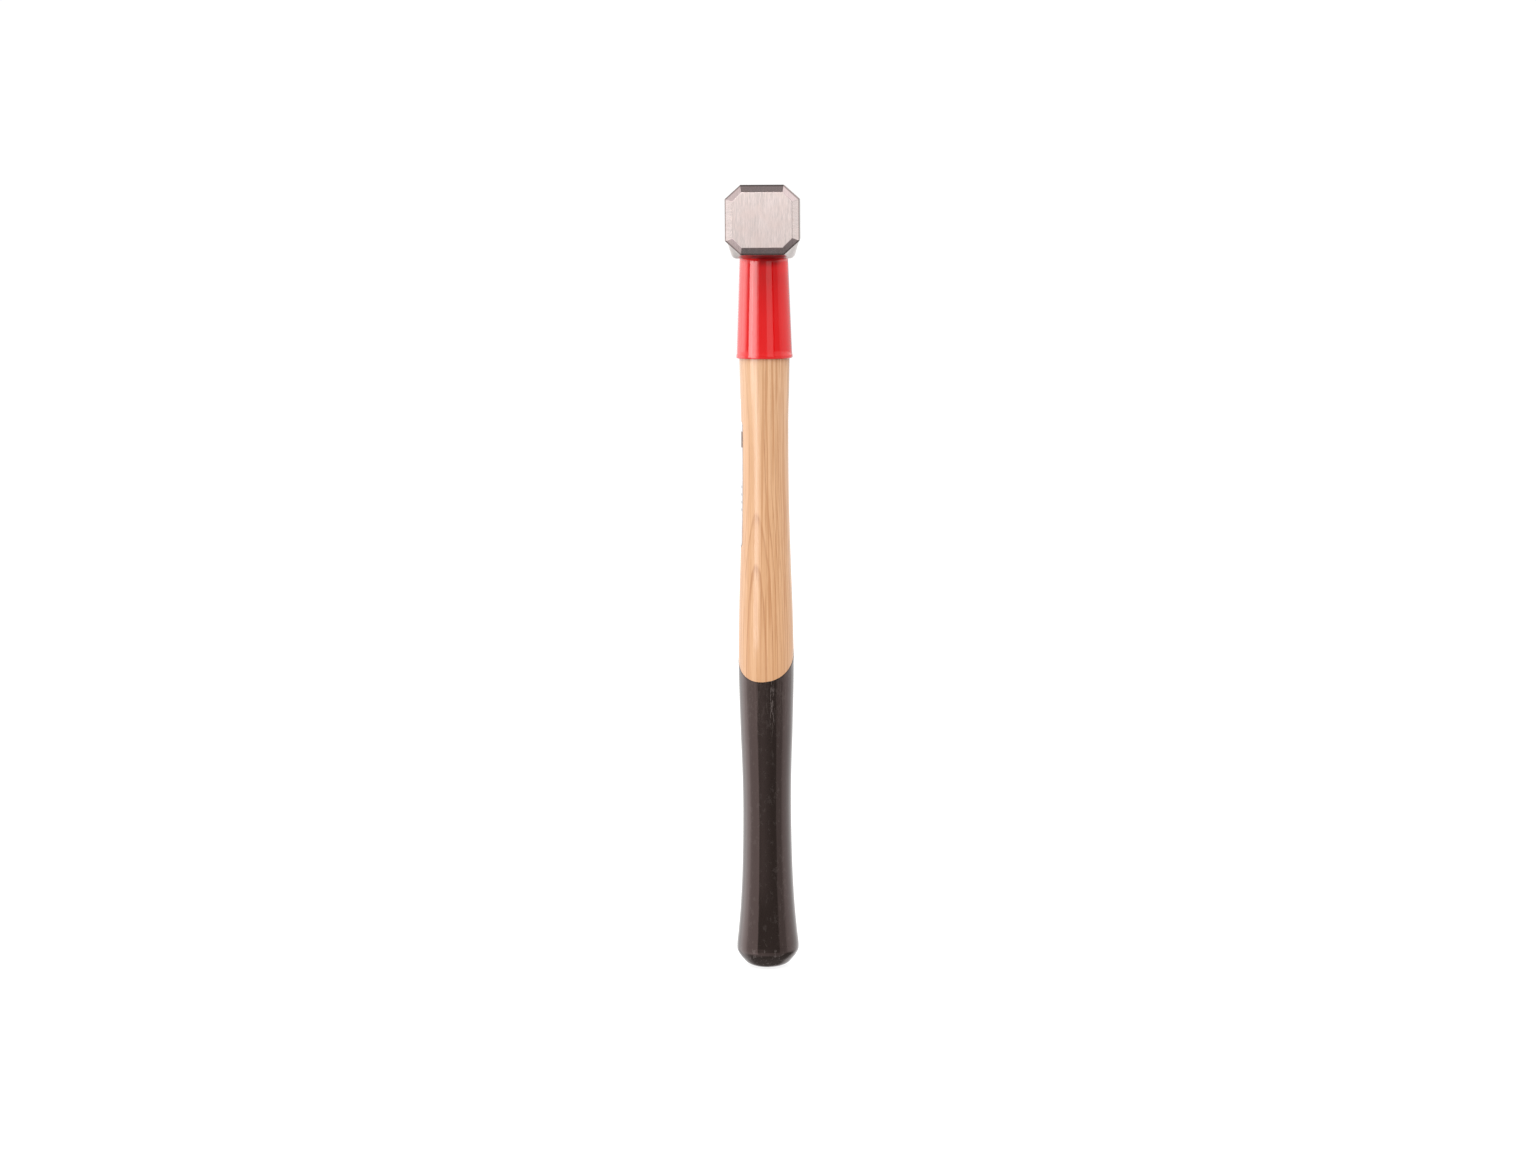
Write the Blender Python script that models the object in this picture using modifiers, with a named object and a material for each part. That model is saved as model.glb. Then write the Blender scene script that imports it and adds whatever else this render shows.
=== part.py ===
"""Lump hammer: a forged head wedged onto an ash handle, with a steel sleeve under the head and a dipped grip.

Metres, +Z up the handle, origin in the middle of the butt's flat end. The head strikes along Y, so its two
octagonal faces look toward -Y and +Y, and X is the narrow way through the handle.
"""

import math

import bmesh
import bpy

# ---------------------------------------------------------------- driving dimensions (metres)
GAP = 0.0003  # left between two pieces that touch

# Head
HEAD_TOP = 0.4108
HEAD_BOTTOM = 0.3752  # underside of the two octagonal ends
BOSS_BOTTOM = 0.3730  # underside of the swollen middle that carries the eye
HEAD_HALF_WIDTH = 0.0190
HEAD_HALF_LENGTH = 0.0570
CORNER_CUT_X = 0.0080
CORNER_CUT_Z = 0.0072
FACE_BEVEL = 0.0038  # width of the bevel ring round a striking face
FACE_BEVEL_DEPTH = 0.0034
FACE_CORNER_CUT = 0.0048  # corner cut of the flat striking face itself
SWELL_START = 0.0400  # distance from the handle's axis where the octagon begins to swell
SWELL_END = 0.0200  # and where the full boss begins
SWELL_STEPS = 7
BOSS_FLAT_HALF_WIDTH = 0.0136
BOSS_FILLET_RADIUS = 0.0030
BOSS_SHOULDER = 0.0084  # height over the octagon's underside where the boss meets the head's side
EYE_BOTTOM_HALF = (0.0098, 0.0146)
EYE_TOP_HALF = (0.0103, 0.0154)

# Handle: half width in X and half depth in Y at heights above the butt
HANDLE_STATIONS = (
    (0.0000, 0.00560, 0.0088),
    (0.0006, 0.00840, 0.0116),
    (0.0018, 0.01100, 0.0142),
    (0.0038, 0.01305, 0.0163),
    (0.0064, 0.01505, 0.0185),
    (0.0094, 0.01635, 0.0198),
    (0.0195, 0.01545, 0.0188),
    (0.0325, 0.01432, 0.0177),
    (0.0515, 0.01333, 0.0168),
    (0.0790, 0.01278, 0.0162),
    (0.1000, 0.01293, 0.0161),
    (0.1285, 0.01383, 0.0166),
    (0.1600, 0.01456, 0.0171),
    (0.1900, 0.01413, 0.0169),
    (0.2175, 0.01325, 0.0165),
    (0.2500, 0.01257, 0.0161),
    (0.2850, 0.01245, 0.0159),
    (0.3000, 0.01272, 0.0160),
    (0.3209, 0.01320, 0.0163),
)
OVAL_POWER = 2.2  # 2 is an ellipse; a little more flattens the sides
HANDLE_SEGMENTS = 48
NECK_TOP_HALF = (0.0113, 0.0150)  # wood just under the head
TENON_TOP = HEAD_TOP - GAP

# Dipped grip: the dip line is a plane that climbs toward +Y and a little toward +X
DIP_HEIGHT = 0.1653
DIP_SLOPE_Y = 0.75
DIP_SLOPE_X = 0.125
DIP_REACH = 0.0500  # height over which the rings lean into the dip plane
COAT_THICKNESS = 0.0005
COAT_FLOOR = 0.0008
BUTT_HEIGHTS = (0.0014, 0.0022, 0.0032, 0.0044, 0.0058, 0.0072, 0.0088, 0.0105, 0.0125, 0.0155, 0.0195, 0.0255)
GRIP_HEIGHTS = (0.0325, 0.0415, 0.0515, 0.0640, 0.0790, 0.0930, 0.1070, 0.1185, 0.1290, 0.1400, 0.1500, 0.1580)

# Sleeve
SLEEVE_BOTTOM = HANDLE_STATIONS[-1][0]
SLEEVE_TOP = BOSS_BOTTOM - GAP
SLEEVE_WALL = 0.0011
SLEEVE_LIP = 0.00025
SLEEVE_LIP_HEIGHT = 0.0022

# Wedges
KERF_BOTTOM = 0.3790
KERF_HALF_TOP = 0.0019
KERF_HALF_BOTTOM = 0.0007
WEDGE_HALF_LENGTH_TOP = 0.0144
WEDGE_HALF_LENGTH_BOTTOM = 0.0136
RING_TOP = TENON_TOP - GAP
RING_HEIGHT = 0.0120
RING_OUTER_TOP = 0.0068
RING_OUTER_BOTTOM = 0.0064
RING_INNER_TOP = 0.0050
RING_INNER_BOTTOM = 0.0058
RING_SEGMENTS = 48

# Label
LABEL_BOTTOM = 0.2225
LABEL_TOP = 0.2880
LABEL_HALF_DEPTH = 0.0072
LABEL_THICKNESS = 0.0002
LABEL_COLUMNS = 12
LABEL_ROWS = 10


# ---------------------------------------------------------------- scene, collections, materials
def empty_scene():
    """Remove whatever the file opened with."""
    for old in list(bpy.data.objects):
        bpy.data.objects.remove(old, do_unlink=True)


def new_collection(name):
    """A collection linked under the scene."""
    made = bpy.data.collections.new(name)
    bpy.context.scene.collection.children.link(made)
    return made


def new_material(name, colour, roughness, metallic):
    """A plain Principled material."""
    material = bpy.data.materials.new(name)
    material.use_nodes = True
    shader = material.node_tree.nodes["Principled BSDF"]
    shader.inputs["Base Color"].default_value = (*colour, 1.0)
    shader.inputs["Roughness"].default_value = roughness
    shader.inputs["Metallic"].default_value = metallic
    return material


def new_object(name, vertices, faces, collection, material=None, smooth=True):
    """One mesh object with its faces turned outward."""
    mesh = bpy.data.meshes.new(name)
    mesh.from_pydata(vertices, [], faces)
    work = bmesh.new()
    work.from_mesh(mesh)
    bmesh.ops.recalc_face_normals(work, faces=work.faces)
    work.to_mesh(mesh)
    work.free()
    for face in mesh.polygons:
        face.use_smooth = smooth
    if material is not None:
        mesh.materials.append(material)
    made = bpy.data.objects.new(name, mesh)
    collection.objects.link(made)
    return made


def as_cutter(item):
    """Mark an object as a cutting tool, not a piece."""
    item.hide_render = True
    item.display_type = "WIRE"
    return item


def cut(target, tool):
    """Subtract a cutter from a piece."""
    modifier = target.modifiers.new("cut_" + tool.name, "BOOLEAN")
    modifier.operation = "DIFFERENCE"
    modifier.solver = "EXACT"
    modifier.object = tool


# ---------------------------------------------------------------- shapes shared by several pieces
def loft(rings):
    """Vertices and faces of a closed body through rings of equal count, capped at both ends."""
    count = len(rings[0])
    vertices = [point for ring in rings for point in ring]
    faces = []
    for level in range(len(rings) - 1):
        low = level * count
        high = low + count
        for k in range(count):
            after = (k + 1) % count
            faces.append((low + k, low + after, high + after, high + k))
    faces.append(tuple(reversed(range(count))))
    faces.append(tuple(range((len(rings) - 1) * count, len(rings) * count)))
    return vertices, faces


def oval_point(half_x, half_y, turn):
    """A point of the rounded oval at an angle, in X and Y."""
    power = 2.0 / OVAL_POWER
    across = math.cos(turn)
    along = math.sin(turn)
    x = half_x * math.copysign(abs(across) ** power, across)
    y = half_y * math.copysign(abs(along) ** power, along)
    return x, y


def oval_ring(half_x, half_y, height, segments=HANDLE_SEGMENTS):
    """A level ring of the rounded oval."""
    ring = []
    for k in range(segments):
        x, y = oval_point(half_x, half_y, 2.0 * math.pi * k / segments)
        ring.append((x, y, height))
    return ring


def station_slope(index, column):
    """Slope of a handle column at one station, taken across its neighbours."""
    before = HANDLE_STATIONS[max(index - 1, 0)]
    after = HANDLE_STATIONS[min(index + 1, len(HANDLE_STATIONS) - 1)]
    return (after[column] - before[column]) / (after[0] - before[0])


def handle_half(height, column):
    """Half width (column 1) or half depth (column 2) of the finished handle at a height."""
    height = min(max(height, HANDLE_STATIONS[0][0]), HANDLE_STATIONS[-1][0])
    index = 0
    while index < len(HANDLE_STATIONS) - 2 and HANDLE_STATIONS[index + 1][0] < height:
        index += 1
    low = HANDLE_STATIONS[index]
    high = HANDLE_STATIONS[index + 1]
    span = high[0] - low[0]
    t = (height - low[0]) / span
    start = station_slope(index, column) * span
    end = station_slope(index + 1, column) * span
    return (
        low[column] * (2 * t**3 - 3 * t**2 + 1)
        + start * (t**3 - 2 * t**2 + t)
        + high[column] * (3 * t**2 - 2 * t**3)
        + end * (t**3 - t**2)
    )


def wall_slope(height):
    """How fast the handle's half width grows with height."""
    step = 0.0002
    return (handle_half(height + step, 1) - handle_half(height - step, 1)) / (2.0 * step)


def grip_ring(height, inset, lean):
    """A ring on the handle's surface, moved in by inset, leaning into the dip plane by lean (0 to 1)."""
    ring = []
    for k in range(HANDLE_SEGMENTS):
        turn = 2.0 * math.pi * k / HANDLE_SEGMENTS
        level = height
        for _ in range(4):
            sideways = inset * math.hypot(1.0, wall_slope(level))
            half_x = handle_half(level, 1) - sideways
            half_y = handle_half(level, 2) - sideways
            x, y = oval_point(half_x, half_y, turn)
            level = height + lean * (DIP_SLOPE_Y * y + DIP_SLOPE_X * x)
        ring.append((x, y, level))
    return ring


def dip_lean(height):
    """How far a ring at a height leans into the dip plane."""
    closeness = max(0.0, 1.0 - abs(height - DIP_HEIGHT) / DIP_REACH)
    return closeness * closeness * (3.0 - 2.0 * closeness)


def grip_rings(heights, inset):
    """Rings at several heights, each leaning as its height asks."""
    return [grip_ring(height, inset, dip_lean(height)) for height in heights]


# ---------------------------------------------------------------- head
def octagon_section(half_width, bottom, top, cut_x, cut_z):
    """Right half of the octagonal section from the middle of the underside to the middle of the top."""
    section = [(0.0, bottom)]
    for share in (0.0, 0.25, 0.5, 0.75, 1.0):
        section.append((half_width - cut_x * (1.0 - share), bottom + cut_z * share))
    section.append((half_width, top - cut_z))
    section.append((half_width - cut_x, top))
    section.append((0.0, top))
    return section


def boss_section():
    """Right half of the section through the eye: octagonal above, squarer and deeper below."""
    section = [(0.0, BOSS_BOTTOM)]
    for degrees in (0.0, 27.0, 52.0, 75.0):
        turn = math.radians(degrees)
        x = BOSS_FLAT_HALF_WIDTH + BOSS_FILLET_RADIUS * math.sin(turn)
        z = BOSS_BOTTOM + BOSS_FILLET_RADIUS * (1.0 - math.cos(turn))
        section.append((x, z))
    section.append((HEAD_HALF_WIDTH, HEAD_BOTTOM + BOSS_SHOULDER))
    section.append((HEAD_HALF_WIDTH, HEAD_TOP - CORNER_CUT_Z))
    section.append((HEAD_HALF_WIDTH - CORNER_CUT_X, HEAD_TOP))
    section.append((0.0, HEAD_TOP))
    return section


def head_ring(section, along):
    """Both halves of a section as a ring standing at a place along Y."""
    right = [(x, along, z) for x, z in section]
    left = [(-x, along, z) for x, z in reversed(section[1:-1])]
    return right + left


def blended(first, second, share):
    """A section between two sections."""
    return [
        (a[0] + (b[0] - a[0]) * share, a[1] + (b[1] - a[1]) * share)
        for a, b in zip(first, second)
    ]


def head_rings():
    """Rings of the whole head from its -Y face to its +Y face."""
    bar = octagon_section(HEAD_HALF_WIDTH, HEAD_BOTTOM, HEAD_TOP, CORNER_CUT_X, CORNER_CUT_Z)
    face = octagon_section(
        HEAD_HALF_WIDTH - FACE_BEVEL,
        HEAD_BOTTOM + FACE_BEVEL,
        HEAD_TOP - FACE_BEVEL,
        FACE_CORNER_CUT,
        FACE_CORNER_CUT,
    )
    boss = boss_section()
    half = [(face, HEAD_HALF_LENGTH), (bar, HEAD_HALF_LENGTH - FACE_BEVEL_DEPTH)]
    for step in range(SWELL_STEPS + 1):
        share = step / SWELL_STEPS
        eased = share * share * (3.0 - 2.0 * share)
        half.append((blended(bar, boss, eased), SWELL_START + (SWELL_END - SWELL_START) * share))
    front = [head_ring(section, -along) for section, along in half]
    rear = [head_ring(section, along) for section, along in reversed(half)]
    return front + rear


def build_head(pieces, cutters, steel):
    """Forged head with its tapered oval eye."""
    head = new_object("hammer_head", *loft(head_rings()), pieces, steel, smooth=False)
    overshoot = 0.004
    eye = [
        oval_ring(*EYE_BOTTOM_HALF, BOSS_BOTTOM - overshoot),
        oval_ring(*EYE_BOTTOM_HALF, BOSS_BOTTOM + overshoot),
        oval_ring(*EYE_TOP_HALF, HEAD_TOP),
        oval_ring(*EYE_TOP_HALF, HEAD_TOP + overshoot),
    ]
    cut(head, as_cutter(new_object("eye_cutter", *loft(eye), cutters)))


# ---------------------------------------------------------------- handle
def tenon_rings():
    """Rings of the handle from the sleeve's lower edge through the neck and the eye."""
    neck_bottom = (
        handle_half(SLEEVE_BOTTOM, 1),
        handle_half(SLEEVE_BOTTOM, 2),
    )
    bottom = tuple(half - GAP for half in EYE_BOTTOM_HALF)
    top = tuple(half - GAP for half in EYE_TOP_HALF)
    return [
        oval_ring(*neck_bottom, SLEEVE_BOTTOM),
        oval_ring(*NECK_TOP_HALF, SLEEVE_TOP),
        oval_ring(*bottom, SLEEVE_TOP),
        oval_ring(*bottom, BOSS_BOTTOM + 0.004),
        oval_ring(*top, TENON_TOP),
    ]


def build_handle(pieces, wood, tools):
    """Ash handle, thinner under the dip coat, with a shoulder and a slotted tenon at the top."""
    under_coat = COAT_THICKNESS + GAP
    high = (0.1730, 0.1800, 0.1870, 0.1970, 0.2070, 0.2175, 0.2300, 0.2450, 0.2600, 0.2750, 0.2880)
    high += (0.2980, 0.3070, 0.3150)
    rings = grip_rings((COAT_FLOOR + GAP,) + BUTT_HEIGHTS + GRIP_HEIGHTS, under_coat)
    rings += grip_rings((DIP_HEIGHT,), under_coat)
    rings += grip_rings((DIP_HEIGHT,), 0.0)
    rings += grip_rings(high, 0.0)
    rings += tenon_rings()
    handle = new_object("handle", *loft(rings), pieces, wood)
    for tool in tools:
        cut(handle, tool)


def build_coating(pieces, coat):
    """Dipped skin over the grip: a thin cup with a leaning rim and a closed butt."""
    outside = (0.0, 0.0006) + BUTT_HEIGHTS + GRIP_HEIGHTS
    inside = (COAT_FLOOR,) + BUTT_HEIGHTS + GRIP_HEIGHTS
    rim = DIP_HEIGHT - GAP
    rings = grip_rings(outside + (rim,), 0.0)
    rings += reversed(grip_rings(inside + (rim,), COAT_THICKNESS))
    new_object("grip_coating", *loft(rings), pieces, coat)


# ---------------------------------------------------------------- sleeve
def build_sleeve(pieces, paint):
    """Tapered oval steel tube round the neck, with a rolled lip at its lower edge."""
    clear = GAP + SLEEVE_WALL
    low_x = handle_half(SLEEVE_BOTTOM, 1) + clear
    low_y = handle_half(SLEEVE_BOTTOM, 2) + clear
    high_x = NECK_TOP_HALF[0] + clear
    high_y = NECK_TOP_HALF[1] + clear

    def ring(height, grow):
        """A ring of the sleeve's outer cone, grown or shrunk."""
        share = (height - SLEEVE_BOTTOM) / (SLEEVE_TOP - SLEEVE_BOTTOM)
        half_x = low_x + (high_x - low_x) * share + grow
        half_y = low_y + (high_y - low_y) * share + grow
        return oval_ring(half_x, half_y, height)

    rounding = 0.0004
    lip_top = SLEEVE_BOTTOM + SLEEVE_LIP_HEIGHT
    rings = [
        ring(SLEEVE_BOTTOM, SLEEVE_LIP - rounding),
        ring(SLEEVE_BOTTOM + rounding, SLEEVE_LIP),
        ring(lip_top - rounding, SLEEVE_LIP),
        ring(lip_top + rounding, 0.0),
        ring(SLEEVE_TOP, 0.0),
        ring(SLEEVE_TOP, -SLEEVE_WALL),
        ring(SLEEVE_BOTTOM, -SLEEVE_WALL),
    ]
    vertices, faces = loft(rings)
    count = HANDLE_SEGMENTS
    last = (len(rings) - 1) * count
    faces = faces[:-2]
    for k in range(count):
        after = (k + 1) % count
        faces.append((k, after, last + after, last + k))
    new_object("protective_sleeve", vertices, faces, pieces, paint)


# ---------------------------------------------------------------- wedges
def wedge_block(name, half_top, half_bottom, length_top, length_bottom, top, bottom):
    """Vertices and faces of a block that narrows downward."""
    levels = ((half_bottom, length_bottom, bottom), (half_top, length_top, top))
    rings = [
        [(-x, -y, z), (x, -y, z), (x, y, z), (-x, y, z)]
        for x, y, z in levels
    ]
    return (name, *loft(rings))


def ring_profile_object(name, outer_top, outer_bottom, inner_top, inner_bottom, top, bottom):
    """A hollow ring turned round Z from a profile that runs down its outer side and up its inner side."""
    mesh = bpy.data.meshes.new(name)
    corners = [
        (outer_top, 0.0, top),
        (outer_bottom, 0.0, bottom),
        (inner_bottom, 0.0, bottom),
        (inner_top, 0.0, top),
    ]
    mesh.from_pydata(corners, [(0, 1), (1, 2), (2, 3), (3, 0)], [])
    made = bpy.data.objects.new(name, mesh)
    turn = made.modifiers.new("turn", "SCREW")
    turn.axis = "Z"
    turn.angle = 2.0 * math.pi
    turn.steps = RING_SEGMENTS
    turn.render_steps = RING_SEGMENTS
    turn.use_merge_vertices = True
    turn.merge_threshold = 0.00001
    turn.use_smooth_shade = True
    return made


def kerf_and_groove(cutters):
    """Cutters for the saw kerf in the tenon and for the ring wedge's groove."""
    reach = 0.002
    past_oval = 0.022
    widen = (KERF_HALF_TOP - KERF_HALF_BOTTOM) / (TENON_TOP - KERF_BOTTOM)
    kerf_shape = wedge_block(
        "kerf_cutter",
        KERF_HALF_TOP + widen * reach,
        KERF_HALF_BOTTOM,
        past_oval,
        past_oval,
        TENON_TOP + reach,
        KERF_BOTTOM,
    )
    kerf = as_cutter(new_object(*kerf_shape, cutters, smooth=False))
    groove = ring_profile_object(
        "groove_cutter",
        RING_OUTER_TOP + GAP,
        RING_OUTER_BOTTOM + GAP,
        RING_INNER_TOP - GAP,
        RING_INNER_BOTTOM - GAP,
        TENON_TOP + reach,
        RING_TOP - RING_HEIGHT - GAP,
    )
    cutters.objects.link(groove)
    return kerf, as_cutter(groove)


def build_wedges(pieces, wood, steel, groove):
    """Hardwood wedge that fills the kerf and the steel ring wedge driven across it."""
    wedge_shape = wedge_block(
        "wood_wedge",
        KERF_HALF_TOP - GAP,
        KERF_HALF_BOTTOM - GAP,
        WEDGE_HALF_LENGTH_TOP,
        WEDGE_HALF_LENGTH_BOTTOM,
        TENON_TOP,
        KERF_BOTTOM + GAP,
    )
    wedge = new_object(*wedge_shape, pieces, wood, smooth=False)
    cut(wedge, groove)
    ring = ring_profile_object(
        "ring_wedge",
        RING_OUTER_TOP,
        RING_OUTER_BOTTOM,
        RING_INNER_TOP,
        RING_INNER_BOTTOM,
        RING_TOP,
        RING_TOP - RING_HEIGHT,
    )
    ring.data.materials.append(steel)
    pieces.objects.link(ring)


# ---------------------------------------------------------------- label
def build_label(pieces, paper):
    """Blank paper label bent round the handle's -X side."""
    vertices = []
    for row in range(LABEL_ROWS + 1):
        height = LABEL_BOTTOM + (LABEL_TOP - LABEL_BOTTOM) * row / LABEL_ROWS
        half_x = handle_half(height, 1) + GAP
        half_y = handle_half(height, 2) + GAP
        for column in range(LABEL_COLUMNS + 1):
            y = LABEL_HALF_DEPTH * (2.0 * column / LABEL_COLUMNS - 1.0)
            x = half_x * (1.0 - abs(y / half_y) ** OVAL_POWER) ** (1.0 / OVAL_POWER)
            vertices.append((-x, y, height))
    faces = []
    stride = LABEL_COLUMNS + 1
    for row in range(LABEL_ROWS):
        for column in range(LABEL_COLUMNS):
            low = row * stride + column
            faces.append((low, low + stride, low + stride + 1, low + 1))
    label = new_object("handle_label", vertices, faces, pieces, paper)
    if label.data.polygons[0].normal.x > 0.0:
        label.data.flip_normals()
    thicken = label.modifiers.new("thickness", "SOLIDIFY")
    thicken.thickness = LABEL_THICKNESS
    thicken.offset = 1.0
    thicken.use_even_offset = True


# ---------------------------------------------------------------- assembly
def build():
    """Make every piece of the hammer."""
    empty_scene()
    pieces = new_collection("lump_hammer")
    cutters = new_collection("cutters")
    kerf, groove = kerf_and_groove(cutters)
    build_head(pieces, cutters, new_material("ground_steel", (0.70, 0.605, 0.58), 0.34, 1.0))
    build_handle(pieces, new_material("ash_wood", (0.64, 0.37, 0.21), 0.38, 0.0), (kerf, groove))
    build_sleeve(pieces, new_material("red_paint", (0.70, 0.013, 0.014), 0.16, 0.0))
    build_coating(pieces, new_material("black_dip", (0.016, 0.011, 0.009), 0.22, 0.0))
    beech = new_material("beech_wood", (0.55, 0.32, 0.16), 0.55, 0.0)
    bright = new_material("bright_steel", (0.58, 0.57, 0.56), 0.38, 1.0)
    build_wedges(pieces, beech, bright, groove)
    build_label(pieces, new_material("white_paper", (0.68, 0.66, 0.67), 0.42, 0.0))


build()
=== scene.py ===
"""Looks of the lump hammer: every piece is remade finely over its CAD solid, then the studio is set."""

import math

import bmesh
import bpy
from mathutils import Matrix, Vector


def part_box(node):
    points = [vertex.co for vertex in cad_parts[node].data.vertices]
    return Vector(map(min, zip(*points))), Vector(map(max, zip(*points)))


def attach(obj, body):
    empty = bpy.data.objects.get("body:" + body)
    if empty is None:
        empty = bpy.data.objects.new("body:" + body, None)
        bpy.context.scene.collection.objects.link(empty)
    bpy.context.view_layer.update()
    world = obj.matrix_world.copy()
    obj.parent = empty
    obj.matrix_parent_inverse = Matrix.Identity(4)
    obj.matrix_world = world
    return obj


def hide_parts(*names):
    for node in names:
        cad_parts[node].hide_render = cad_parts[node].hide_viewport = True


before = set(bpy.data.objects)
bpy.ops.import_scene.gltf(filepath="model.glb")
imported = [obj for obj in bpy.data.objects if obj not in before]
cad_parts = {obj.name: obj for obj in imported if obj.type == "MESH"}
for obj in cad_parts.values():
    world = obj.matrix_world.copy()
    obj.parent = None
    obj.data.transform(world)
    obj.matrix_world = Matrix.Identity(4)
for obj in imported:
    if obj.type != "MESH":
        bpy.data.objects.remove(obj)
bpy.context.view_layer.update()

# ---------------------------------------------------------------- sizes, in metres, as in the CAD
HEAD_LOW, HEAD_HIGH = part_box("hammer_head")
HEAD_TOP = HEAD_HIGH.z
BOSS_BOTTOM = HEAD_LOW.z
BOSS_DROP = 0.0022  # how far the boss hangs below the octagonal ends
HEAD_BOTTOM = BOSS_BOTTOM + BOSS_DROP
HEAD_HALF_WIDTH = HEAD_HIGH.x
HEAD_HALF_LENGTH = HEAD_HIGH.y
CORNER_CUT_X = 0.0080
CORNER_CUT_Z = 0.0072
FACE_BEVEL = 0.0038
FACE_BEVEL_DEPTH = 0.0034
FACE_CORNER_CUT = 0.0048
SWELL_START = 0.0400
SWELL_END = 0.0200
BOSS_FLAT_HALF_WIDTH = 0.0136
BOSS_FILLET_RADIUS = 0.0030
BOSS_SHOULDER = 0.0084
EYE_BOTTOM_HALF = (0.0098, 0.0146)
EYE_TOP_HALF = (0.0103, 0.0154)
EYE_RIM = 0.00045  # broken edge at both ends of the eye
EDGE_ROUNDING = 0.00014

# height, half width and half depth of the finished handle, from the butt's flat end up
HANDLE_STATIONS = (
    (0.0000, 0.00560, 0.0088),
    (0.0006, 0.00840, 0.0116),
    (0.0018, 0.01100, 0.0142),
    (0.0038, 0.01305, 0.0163),
    (0.0064, 0.01505, 0.0185),
    (0.0094, 0.01635, 0.0198),
    (0.0195, 0.01545, 0.0188),
    (0.0325, 0.01432, 0.0177),
    (0.0515, 0.01333, 0.0168),
    (0.0790, 0.01278, 0.0162),
    (0.1000, 0.01293, 0.0161),
    (0.1285, 0.01383, 0.0166),
    (0.1600, 0.01456, 0.0171),
    (0.1900, 0.01413, 0.0169),
    (0.2175, 0.01325, 0.0165),
    (0.2500, 0.01257, 0.0161),
    (0.2850, 0.01245, 0.0159),
    (0.3000, 0.01272, 0.0160),
    (0.3209, 0.01320, 0.0163),
)
OVAL_POWER = 2.2  # 2 is an ellipse; a little more flattens the sides
SEGMENTS = 96
NECK_TOP_HALF = (0.0113, 0.0150)
CAD_GAP = 0.0003  # left in the CAD between two pieces that touch
HAIRLINE = 0.00004  # visible joint between two pieces that touch
TENON_TOP = HEAD_TOP - CAD_GAP

DIP_HEIGHT = 0.1653
DIP_SLOPE_Y = 0.75
DIP_SLOPE_X = 0.125
DIP_REACH = 0.0500  # height over which the rings lean into the dip plane
LEAN_LOW = DIP_HEIGHT - DIP_REACH
LEAN_HIGH = DIP_HEIGHT + DIP_REACH
LEAN_STEP = 0.004  # between one group of rings and the next
SKIN = 0.00028  # how far the dip coat stands over the wood

SLEEVE_BOTTOM = HANDLE_STATIONS[-1][0]
SLEEVE_TOP = BOSS_BOTTOM - 0.00003
SLEEVE_CLEAR = 0.0014
SLEEVE_LIP = 0.00022
SLEEVE_LIP_HEIGHT = 0.0022
SLEEVE_WALL = 0.0011

KERF_BOTTOM = 0.3790
KERF_HALF_TOP = 0.0019
KERF_HALF_BOTTOM = 0.0007
WEDGE_CLEAR = 0.0001  # on each side of the wedge in its kerf
WEDGE_HALF_LENGTH_TOP = 0.0151
WEDGE_HALF_LENGTH_BOTTOM = 0.0143
RING_TOP = TENON_TOP - CAD_GAP
RING_HEIGHT = 0.0120
RING_OUTER = (0.0068, 0.0064)  # radius at the top and at the bottom
RING_INNER = (0.0050, 0.0058)
CUTTER_REACH = 0.002  # how far a cutter stands out of what it cuts

LABEL_BOTTOM = 0.2225
LABEL_TOP = 0.2880
LABEL_HALF_DEPTH = 0.0072
LABEL_CORNER = 0.0015
LABEL_THICKNESS = 0.00012


# ---------------------------------------------------------------- mesh helpers
def loft(rings):
    """Vertices and faces of a closed body through rings of equal count, capped at both ends."""
    count = len(rings[0])
    vertices = [point for ring in rings for point in ring]
    faces = []
    for level in range(len(rings) - 1):
        low = level * count
        high = low + count
        for k in range(count):
            after = (k + 1) % count
            faces.append((low + k, low + after, high + after, high + k))
    faces.append(tuple(reversed(range(count))))
    faces.append(tuple(range((len(rings) - 1) * count, len(rings) * count)))
    return vertices, faces


def new_object(name, vertices, faces, materials=(), sharp=35.0):
    """A smooth-shaded mesh object with edges steeper than `sharp` degrees kept hard."""
    mesh = bpy.data.meshes.new(name)
    mesh.from_pydata(vertices, [], faces)
    work = bmesh.new()
    work.from_mesh(mesh)
    bmesh.ops.recalc_face_normals(work, faces=work.faces)
    work.to_mesh(mesh)
    work.free()
    for face in mesh.polygons:
        face.use_smooth = True
    mesh.set_sharp_from_angle(angle=math.radians(sharp))
    for material in materials:
        mesh.materials.append(material)
    made = bpy.data.objects.new(name, mesh)
    bpy.context.scene.collection.objects.link(made)
    return made


def round_edges(item, width, segments=3, angle=30.0):
    """Bevel the sharp edges of a piece and keep its flats flat."""
    modifier = item.modifiers.new("rounded_edges", "BEVEL")
    modifier.width = width
    modifier.segments = segments
    modifier.limit_method = "ANGLE"
    modifier.angle_limit = math.radians(angle)
    modifier.harden_normals = True


def cut(target, tool):
    """Subtract a cutter from a piece."""
    modifier = target.modifiers.new("cut_" + tool.name, "BOOLEAN")
    modifier.operation = "DIFFERENCE"
    modifier.solver = "EXACT"
    modifier.object = tool


def freeze(item):
    """Replace a piece's mesh by what its modifiers make of it, so that its cutters can go."""
    graph = bpy.context.evaluated_depsgraph_get()
    graph.update()
    solid = bpy.data.meshes.new_from_object(item.evaluated_get(graph))
    item.modifiers.clear()
    item.data = solid


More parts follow.
